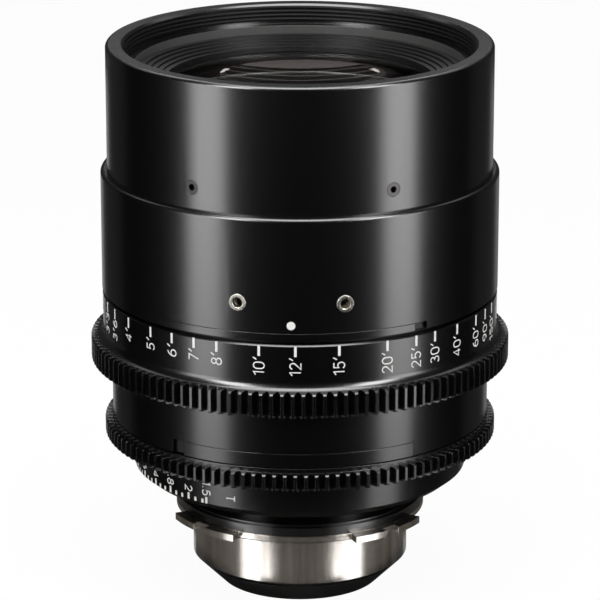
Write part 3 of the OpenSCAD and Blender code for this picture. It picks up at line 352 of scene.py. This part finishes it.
def add_stroke(mesh, line, closed, width, place):
    """Adds one stroke as a thin closed plate. place turns a point and a lift into a point of the frame."""
    points = [Vector(point) for point in line]
    count = len(points)
    rows = []
    for index, point in enumerate(points):
        arrive = point - points[index - 1] if closed or index else None
        leave = points[(index + 1) % count] - point if closed or index < count - 1 else None
        arrive, leave = arrive or leave, leave or arrive
        along = (arrive.normalized() + leave.normalized()).normalized()
        across = Vector((-along.y, along.x))
        lean = max(1 / MITRE_LIMIT, abs(across.dot(Vector((-leave.y, leave.x)).normalized())))
        side = across * (width / 2 / lean)
        rows.append([
            mesh.verts.new(place(corner, lift))
            for corner, lift in (
                (point - side, -PAINT_ROOT),
                (point + side, -PAINT_ROOT),
                (point + side, PAINT_LIFT),
                (point - side, PAINT_LIFT),
            )
        ])
    add_walls(mesh, rows, closed)


def add_label(mesh, text, size, stroke, radius, azimuth, end_z, run):
    """Adds a label along the lens axis that ends at end_z. Its run is UPWARDS or DOWNWARDS."""
    glyphs = [text] if text in GLYPHS else list(text)
    length = sum(GLYPHS[glyph][0] for glyph in glyphs) + GLYPH_GAP * (len(glyphs) - 1)

    def place(point, lift):
        turn = azimuth - run * math.degrees((point.y - 0.5) * size / radius)
        return on_axis(radius + lift, turn, end_z - run * (length - point.x) * size)

    start = 0.0
    for glyph in glyphs:
        width, strokes = GLYPHS[glyph]
        for line, closed in strokes:
            add_stroke(mesh, [(x + start, y) for x, y in line], closed, stroke / size, place)
        start += width + GLYPH_GAP


def add_tick(mesh, width, radius, azimuth, low, high):
    """Adds a mark that stands along the lens axis."""

    def place(point, lift):
        return on_axis(radius + lift, azimuth + math.degrees(point.x / radius), point.y)

    add_stroke(mesh, [(0.0, low), (0.0, high)], False, width, place)


# The focus scale has its distances in feet, each with the azimuth of its tick at rest.
FOCUS_BAND_R = 49.0 * MM
FOCUS_TICK_W = 0.62 * MM
FOCUS_TICK_DROP = 0.3 * MM
FOCUS_TICK_LENGTH = 2.55 * MM
FOCUS_LABEL_DROP = 3.2 * MM
FOCUS_LABEL_SIZE = 2.6 * MM
FOCUS_STROKE = 0.28 * MM
FOCUS_MARKS = {
    "3'": -80.5, "3'3": -71.9, "3'6": -64.6, "4'": -55.4, "5'": -44.6, "6'": -36.2, "7'": -28.6,
    "8'": -21.4, "10'": -9.0, "12'": 1.2, "15'": 13.4, "20'": 27.5, "25'": 36.9, "30'": 43.7,
    "40'": 53.0, "60'": 63.0, "90'": 69.6, "150'": 75.9, "endless": 84.5,
}

band_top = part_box("focus_ring")[1][2]
tick_top = band_top - FOCUS_TICK_DROP
label_end = band_top - FOCUS_LABEL_DROP
marks = bmesh.new()
for text, azimuth in FOCUS_MARKS.items():
    add_tick(marks, FOCUS_TICK_W, FOCUS_BAND_R, azimuth, tick_top - FOCUS_TICK_LENGTH, tick_top)
    add_label(marks, text, FOCUS_LABEL_SIZE, FOCUS_STROKE, FOCUS_BAND_R, azimuth, label_end, UPWARDS)
new_piece("focus_scale", marks, SCALE_PAINT, "focus_ring")

# The stop scale runs round its band from the widest stop, with a full stop every STOP_STEP and ticks at the
# thirds between.
STOP_BAND_R = 41.5 * MM
STOP_BAND_LOW = 2.0 * MM
STOP_STEP = 9.0
STOP_FIRST = -38.4
STOP_WIDEST = -30.8
STOP_LETTER = -21.5
STOP_TICK_W = 0.65 * MM
STOP_TICK_LONG = 1.65 * MM
STOP_TICK_SHORT = 1.0 * MM
STOP_LABEL_RISE = 2.15 * MM
STOP_LETTER_RISE = 1.75 * MM
STOP_LABEL_SIZE = 2.2 * MM
STOP_STROKE = 0.28 * MM
STOPS = ("2", "2.8", "4", "5.6", "8", "11", "16")

band_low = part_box("iris_ring")[0][2] + STOP_BAND_LOW
stops = [("1.5", STOP_WIDEST)]
stops += [(text, STOP_FIRST - STOP_STEP * step) for step, text in enumerate(STOPS)]
letter_end = band_low + STOP_LETTER_RISE
label_end = band_low + STOP_LABEL_RISE
marks = bmesh.new()
add_label(marks, "T", STOP_LABEL_SIZE, STOP_STROKE, STOP_BAND_R, STOP_LETTER, letter_end, DOWNWARDS)
for text, azimuth in stops:
    add_label(marks, text, STOP_LABEL_SIZE, STOP_STROKE, STOP_BAND_R, azimuth, label_end, DOWNWARDS)
    add_tick(marks, STOP_TICK_W, STOP_BAND_R, azimuth, band_low, band_low + STOP_TICK_LONG)
    if azimuth != STOP_WIDEST:
        for third in (1, 2):
            between = azimuth + STOP_STEP * third / 3
            add_tick(marks, STOP_TICK_W, STOP_BAND_R, between, band_low, band_low + STOP_TICK_SHORT)
new_piece("stop_scale", marks, SCALE_PAINT, "iris_ring")

# The white dot on the main barrel that the focus scale is read against
DOT_D = 2.05 * MM
DOT_RISE = 3.85 * MM
DOT_SIDES = 40

barrel_low, barrel_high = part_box("main_barrel")
barrel_r = barrel_high[0]
dot = bmesh.new()
rims = []
for lift in (PAINT_LIFT, -PAINT_ROOT):
    rims.append([
        dot.verts.new(on_axis(
            barrel_r + lift,
            math.degrees(DOT_D / 2 * math.cos(turn) / barrel_r),
            barrel_low[2] + DOT_RISE + DOT_D / 2 * math.sin(turn),
        ))
        for turn in (2 * math.pi * side / DOT_SIDES for side in range(DOT_SIDES))
    ])
for rim in rims:
    dot.faces.new(rim)
bmesh.ops.bridge_loops(dot, edges=[edge for edge in dot.edges if edge.is_boundary])
new_piece("focus_index_dot", dot, SCALE_PAINT, "housing")


# Black paint, and painted shade in two recesses
def add_turned(mesh, section, azimuths, whole):
    """Adds a section of radii and heights that is turned about the lens axis through some azimuths."""
    rows = [[mesh.verts.new(on_axis(radius, azimuth, z)) for radius, z in section] for azimuth in azimuths]
    add_walls(mesh, rows, whole)


# The ground edge of the front glass is painted black. The paint lies just inside the glass.
EDGE_PAINT_INSET = 0.04 * MM
EDGE_PAINT_T = 0.03 * MM
FRONT_RIM_R = 33.3 * MM
FRONT_STEP_H = 1.4 * MM
TURN_STEP = 3
ALL_ROUND = range(0, 360, TURN_STEP)

glass_low, glass_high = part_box("front_element")
# Radius and height of each corner of the edge, with 1 where the paint lies under a step
path = [
    (FRONT_RIM_R, glass_high[2] - EDGE_PAINT_INSET, 0),
    (FRONT_RIM_R, glass_high[2] - FRONT_STEP_H - EDGE_PAINT_INSET, 1),
    (glass_high[0], glass_high[2] - FRONT_STEP_H - EDGE_PAINT_INSET, 1),
    (glass_high[0], glass_low[2] + EDGE_PAINT_INSET, 0),
]
outer = [(radius - EDGE_PAINT_INSET, z) for radius, z, under in path]
inner = [
    (radius - EDGE_PAINT_INSET - EDGE_PAINT_T, z - under * EDGE_PAINT_T)
    for radius, z, under in path
]
paint = bmesh.new()
add_turned(paint, outer + inner[::-1], ALL_ROUND, True)
new_piece("front_element_edge_paint", paint, FINISHES["inner_black"], "housing")

# The wall of the ledge round the baffle has a thin matt coat.
LEDGE_R = 40.5 * MM
LEDGE_H = 2.2 * MM
LEDGE_TOP_DROP = 5.0 * MM
LEDGE_COAT_T = 0.03 * MM

front_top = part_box("front_ring")[1][2]
ledge_top = front_top - LEDGE_TOP_DROP
section = [
    (LEDGE_R + LEDGE_COAT_T, ledge_top - LEDGE_H),
    (LEDGE_R + LEDGE_COAT_T, ledge_top - LEDGE_COAT_T),
    (LEDGE_R - LEDGE_COAT_T, ledge_top - LEDGE_COAT_T),
    (LEDGE_R - LEDGE_COAT_T, ledge_top - LEDGE_H),
]
coat = bmesh.new()
add_turned(coat, section, ALL_ROUND, True)
new_piece("ledge_coat", coat, LEDGE_BLACK, "housing")

# The bare floors of the recesses at the ends of the two index plates get a thin black sheet of painted shade,
# where a deep recess lies in shadow. Each recess has the radius of the barrel round it, its azimuths, and its
# lower and upper end.
RECESS_DEPTH = 1.2 * MM
RECESS_SHADE_T = 0.05 * MM
RECESS_STEPS = 6
RECESSES = {
    "focus_recess_painted_shade": (49.1 * MM, (36.3, 40.5), 57.8 * MM, 59.7 * MM),
    "iris_recess_painted_shade": (46.85 * MM, (-38.4, -34.2), 25.35 * MM, 28.85 * MM),
}
for name, (radius, (start, end), low, high) in RECESSES.items():
    bare = radius - RECESS_DEPTH
    section = [
        (bare - RECESS_SHADE_T, low),
        (bare + RECESS_SHADE_T, low),
        (bare + RECESS_SHADE_T, high),
        (bare - RECESS_SHADE_T, high),
    ]
    azimuths = [start + (end - start) * step / RECESS_STEPS for step in range(RECESS_STEPS + 1)]
    paint = bmesh.new()
    add_turned(paint, section, azimuths, False)
    new_piece(name, paint, FINISHES["inner_black"], "housing")


# Screw threads
# A ridge's half width at its foot and at its crest, as shares of the pitch, the share of its depth by which
# its foot is sunk in the wall, and the share of a turn in which it runs out at each end
THREAD_FOOT = 0.46
THREAD_CREST = 0.08
THREAD_SINK = 0.25
THREAD_RUN_OUT = 0.125


def add_thread(mesh, place, root_r, depth, pitch, low, high, steps):
    """Adds a ridge of an inner thread that winds from low to high in steps to a turn.

    place turns a radius, an angle in radians and a height into a point of the frame.
    """
    count = int((high - low) / pitch * steps)
    foot = root_r + depth * THREAD_SINK
    rows = []
    for step in range(count + 1):
        fade = min(1.0, min(step, count - step) / (steps * THREAD_RUN_OUT))
        crest = root_r - depth * fade
        middle = low + pitch * step / steps
        turn = 2 * math.pi * step / steps
        section = ((foot, -THREAD_FOOT), (crest, -THREAD_CREST), (crest, THREAD_CREST), (foot, THREAD_FOOT))
        rows.append([
            mesh.verts.new(place(radius, turn, middle + pitch * share))
            for radius, share in section
        ])
    add_walls(mesh, rows, False)


FILTER_R = 43.0 * MM
FILTER_PITCH = 1.0 * MM
FILTER_DEPTH = 0.2 * MM
FILTER_LOW_DROP = 4.4 * MM
FILTER_HIGH_DROP = 0.8 * MM
FILTER_STEPS = 120


def in_filter(radius, turn, z):
    """A point of the filter thread."""
    return on_axis(radius, math.degrees(turn), z)


ridge = bmesh.new()
add_thread(
    ridge, in_filter, FILTER_R, FILTER_DEPTH, FILTER_PITCH,
    front_top - FILTER_LOW_DROP, front_top - FILTER_HIGH_DROP, FILTER_STEPS,
)
new_piece("filter_thread_ridge", ridge, THREAD_BLACK, "housing")

INSERT_R = 1.25 * MM
INSERT_PITCH = 0.5 * MM
INSERT_DEPTH = 0.13 * MM
INSERT_LENGTH = 2.6 * MM
INSERT_STEPS = 40


def in_insert(mount):
    """The place function of an insert's thread. Its heights go down the hole from its mouth."""
    mouth = Vector(mount["pos_m"])
    axis = Vector(mount["axis"])
    across = axis.cross(UP)

    def place(radius, turn, depth):
        return mouth - axis * depth + (across * math.cos(turn) + UP * math.sin(turn)) * radius

    return place


mounts = {mount["name"]: mount for mount in frame["record"]["mounts"]}
for side in ("left", "right"):
    place = in_insert(mounts["accessory_thread_" + side])
    ridge = bmesh.new()
    add_thread(ridge, place, INSERT_R, INSERT_DEPTH, INSERT_PITCH, 0.0, INSERT_LENGTH, INSERT_STEPS)
    new_piece("insert_thread_" + side, ridge, SHADED_THREAD_NICKEL, "housing")


# Studio
def light_path_factor(tree, share):
    """share for camera, glossy and transmission rays, and 0 for the rest."""
    rays = add_node(tree, "LightPath").outputs
    seen = rays["Is Camera Ray"]
    for kind in ("Is Glossy Ray", "Is Transmission Ray"):
        seen = add_node(tree, "Math", {0: seen, 1: rays[kind]}, operation="MAXIMUM").outputs[0]
    return add_node(tree, "Math", {0: seen, 1: share}, operation="MULTIPLY").outputs[0]


def staged(name, mesh, material):
    """An object of the studio, which isn't part of the lens."""
    thing = new_mesh_object(name, mesh, material)
    return thing


def only_reflected(thing):
    """Hides a thing of the studio from everything but reflections."""
    thing.visible_camera = False
    thing.visible_diffuse = False
    thing.visible_transmission = False
    thing.visible_shadow = False


FLOOR_R = 4.0
FLOOR_SIDES = 64
FLOOR_GLOW = 0.96
FLOOR_COLOUR = (0.86, 0.86, 0.86, 1.0)
floor_z = cad_box[0][2]

paper = bpy.data.materials.new("floor_paper")
tree = cleared_tree(paper)
matte = add_node(tree, "BsdfDiffuse", {"Color": FLOOR_COLOUR})
glow = add_node(tree, "Emission", {"Strength": 1.0})
both = add_node(tree, "MixShader", {
    0: light_path_factor(tree, FLOOR_GLOW),
    1: matte.outputs[0],
    2: glow.outputs[0],
})
add_node(tree, "OutputMaterial", {"Surface": both.outputs[0]})
disc = bmesh.new()
bmesh.ops.create_circle(disc, cap_ends=True, segments=FLOOR_SIDES, radius=FLOOR_R)
bmesh.ops.translate(disc, verts=disc.verts, vec=(0, 0, floor_z))
floor = staged("floor", disc, paper)
floor.visible_glossy = False
floor.visible_shadow = False

# Screens round the set, which only reflections see. Dark flags keep the finish black between the lamps.
# The back screens are what the front glass mirrors, and the bright strips draw its white arcs. Each screen has
# its radius, its azimuths, its elevations and its level.
SCREEN_STEP = 6
DULL_LEVEL = 1.0
STRIP_R = 1.05
SCREENS = {
    "dark_flags": (1.2, (0, 360), (-84, 84), 0.004),
    "back_screen_low": (1.1, (120, 240), (-30, 39), 0.05),
    "back_screen_high": (1.1, (120, 240), (39, 78), 1.0),
    "left_strip": (STRIP_R, (173.5, 178.0), (28, 36.5), 5.0),
    "right_strip": (STRIP_R, (186.9, 191.4), (28, 36.5), 5.0),
}
THIN_STRIP_AZIMUTHS = (172, 193)
THIN_STRIP_ELEVATIONS = (33.0, 35.4, 37.6)
THIN_STRIP_H = 0.5
THIN_STRIP_LEVEL = 0.6
for index, elevation in enumerate(THIN_STRIP_ELEVATIONS):
    SCREENS[f"thin_strip_{index + 1}"] = (
        STRIP_R, THIN_STRIP_AZIMUTHS, (elevation, elevation + THIN_STRIP_H), THIN_STRIP_LEVEL,
    )


def steps_between(low, high):
    """Angles from one to another in even steps of about SCREEN_STEP."""
    count = max(1, round((high - low) / SCREEN_STEP))
    return [low + (high - low) * step / count for step in range(count + 1)]


def screen(name, radius, azimuths, elevations, level):
    """A curved screen round the lens with an even brightness, which only reflections see.

    A dull screen is left out of the lamps that the renderer aims at, which keeps the noise down.
    """
    material = bpy.data.materials.new(name)
    if level <= DULL_LEVEL:
        material.cycles.emission_sampling = "NONE"
    tree = cleared_tree(material)
    even = add_node(tree, "Emission", {"Color": (level, level, level, 1.0), "Strength": 1.0})
    add_node(tree, "OutputMaterial", {"Surface": even.outputs[0]})
    mesh = bmesh.new()
    rows = []
    for rise in map(math.radians, steps_between(*elevations)):
        rows.append([
            mesh.verts.new(on_axis(radius * math.cos(rise), azimuth, radius * math.sin(rise)))
            for azimuth in steps_between(*azimuths)
        ])
    for under, over in zip(rows, rows[1:]):
        for index in range(len(under) - 1):
            mesh.faces.new((under[index], under[index + 1], over[index + 1], over[index]))
    only_reflected(staged(name, mesh, material))


for name, screen_values in SCREENS.items():
    screen(name, *screen_values)

# The table close round the mount, which only reflections see. It lies just under the floor, glows a little,
# and mirrors the lamps where it is seen at a low angle.
TABLE_R = 95.0 * MM
# Inside this radius the table is left out: painted shadow of the lens on the table.
TABLE_SHADOW_R = 44.0 * MM
TABLE_GLOW = (0.072, 0.063, 0.053)
TABLE_STREAKS = 24.0
TABLE_STREAK_DETAIL = 2.0
TABLE_STREAK_SPREAD = 0.75
TABLE_MIRROR = (0.7, 0.7, 0.7, 1.0)
TABLE_ROUGHNESS = 0.08
TABLE_DROP = 0.1 * MM
TABLE_MIRROR_FROM = 0.35
TABLE_MIRROR_FULL = 0.6
table_top = bpy.data.materials.new("table_top")
tree = cleared_tree(table_top)
mirror = add_node(tree, "BsdfGlossy", {"Color": TABLE_MIRROR, "Roughness": TABLE_ROUGHNESS})
low_angle = add_node(tree, "MapRange", {
    "Value": add_node(tree, "LayerWeight").outputs["Facing"],
    "From Min": TABLE_MIRROR_FROM,
    "From Max": TABLE_MIRROR_FULL,
})
mirror = add_node(tree, "MixShader", {0: low_angle.outputs["Result"], 2: mirror.outputs[0]})
place = add_node(tree, "TexCoord").outputs["Object"]
outward = add_node(tree, "VectorMath", {0: place}, operation="NORMALIZE")
streaks = add_node(tree, "TexNoise", {
    "Vector": outward.outputs[0],
    "Scale": TABLE_STREAKS,
    "Detail": TABLE_STREAK_DETAIL,
})
tint = add_node(tree, "MixRGB", {
    "Fac": streaks.outputs["Fac"],
    "Color1": shade(TABLE_GLOW, 1 - TABLE_STREAK_SPREAD),
    "Color2": shade(TABLE_GLOW, 1 + TABLE_STREAK_SPREAD),
})
glow = add_node(tree, "Emission", {"Color": tint.outputs[0], "Strength": 1.0})
both = add_node(tree, "AddShader", {0: mirror.outputs[0], 1: glow.outputs[0]})
add_node(tree, "OutputMaterial", {"Surface": both.outputs[0]})
band = bmesh.new()
table_z = floor_z - TABLE_DROP
rims = [
    [band.verts.new(on_axis(radius, azimuth, table_z)) for azimuth in range(0, 360, SCREEN_STEP)]
    for radius in (TABLE_SHADOW_R, TABLE_R)
]
for index in range(len(rims[0])):
    band.faces.new((rims[0][index - 1], rims[0][index], rims[1][index], rims[1][index - 1]))
only_reflected(staged("table_top", band, table_top))


def area_lamp(name, width, height, radiance):
    """A rectangular lamp with an even brightness, which the camera doesn't see."""
    data = bpy.data.lights.new(name, "AREA")
    data.shape = "RECTANGLE"
    data.size = width
    data.size_y = height
    data.energy = radiance * math.pi * width * height
    lamp = new_object(name, data)
    lamp.visible_camera = False
    return lamp


def softbox(name, azimuth, distance, width, low, high, radiance):
    """An upright lamp that faces the lens axis."""
    lamp = area_lamp(name, width, high - low, radiance)
    lamp.location = on_axis(distance, azimuth, (low + high) / 2)
    lamp.rotation_euler = (math.pi / 2, 0, math.radians(azimuth))
    return lamp


# Each side lamp is brighter towards its top. Its highest section stands nearer to the camera's azimuth and
# doesn't light matt surfaces. A lamp has its azimuth and the way round to the camera. A section has its lower
# end, its upper end, its radiance, and how far it is turned to the camera.
SIDE_LAMPS = {"left": (-50.3, 1), "right": (59.5, -1)}
SIDE_LAMP_DISTANCE = 0.45
SIDE_LAMP_W = 0.165
SIDE_LAMP_SECTIONS = {
    "low": (-0.35, -0.115, 1.4, 0.0),
    "middle": (-0.115, -0.05, 3.0, 0.0),
    "upper": (-0.05, 0.16, 4.7, 0.0),
    "high": (0.16, 0.62, 13.0, 13.0),
}
for side, (azimuth, way) in SIDE_LAMPS.items():
    for section, (low, high, radiance, turn) in SIDE_LAMP_SECTIONS.items():
        lamp = softbox(
            f"{side}_{section}_softbox", azimuth + way * turn, SIDE_LAMP_DISTANCE, SIDE_LAMP_W,
            low, high, radiance,
        )
        lamp.visible_diffuse = section != "high"

# Two dim lamps low behind the lens show the form of its back. Each has its azimuth and its radiance.
BACK_LAMPS = {"left": (202.0, 0.55), "right": (160.0, 0.35)}
BACK_LAMP_DISTANCE = 0.6
BACK_LAMP_W = 0.12
BACK_LAMP_LOW = -0.36
BACK_LAMP_HIGH = -0.03
for side, (azimuth, radiance) in BACK_LAMPS.items():
    softbox(
        f"back_{side}_softbox", azimuth, BACK_LAMP_DISTANCE, BACK_LAMP_W,
        BACK_LAMP_LOW, BACK_LAMP_HIGH, radiance,
    )

# One broad lamp overhead, on the camera's side of the lens
TOP_LAMP_Z = 0.75
TOP_LAMP_SIZE = 0.6
TOP_LAMP_Y = -0.2
TOP_LAMP_RADIANCE = 7.0
lamp = area_lamp("top_softbox", TOP_LAMP_SIZE, TOP_LAMP_SIZE, TOP_LAMP_RADIANCE)
lamp.location = (0, TOP_LAMP_Y, TOP_LAMP_Z)

# The world is white where it is seen, and a dim even light elsewhere.
WORLD_FILL = 0.2
world = bpy.data.worlds.new("white_studio")
tree = cleared_tree(world)
white = add_node(tree, "Background", {"Strength": 1.0})
fill = add_node(tree, "Background", {"Strength": WORLD_FILL})
both = add_node(tree, "MixShader", {
    0: light_path_factor(tree, 1.0),
    1: fill.outputs[0],
    2: white.outputs[0],
})
add_node(tree, "OutputWorld", {"Surface": both.outputs[0]})
bpy.context.scene.world = world
bpy.context.scene.view_settings.view_transform = "Standard"

# Camera, at the photograph's viewing angle
CAMERA_PLACE = (36.2 * MM, -845.6 * MM, 313.5 * MM)
CAMERA_TILT = 72.89
CAMERA_TURN = 2.45
CAMERA_FOCAL = 213.3
SENSOR_W = 36.0
view = bpy.data.cameras.new("camera")
view.sensor_width = SENSOR_W
view.lens = CAMERA_FOCAL
camera = new_object("camera", view)
camera.location = CAMERA_PLACE
camera.rotation_euler = (math.radians(CAMERA_TILT), 0, math.radians(CAMERA_TURN))
bpy.context.scene.camera = camera
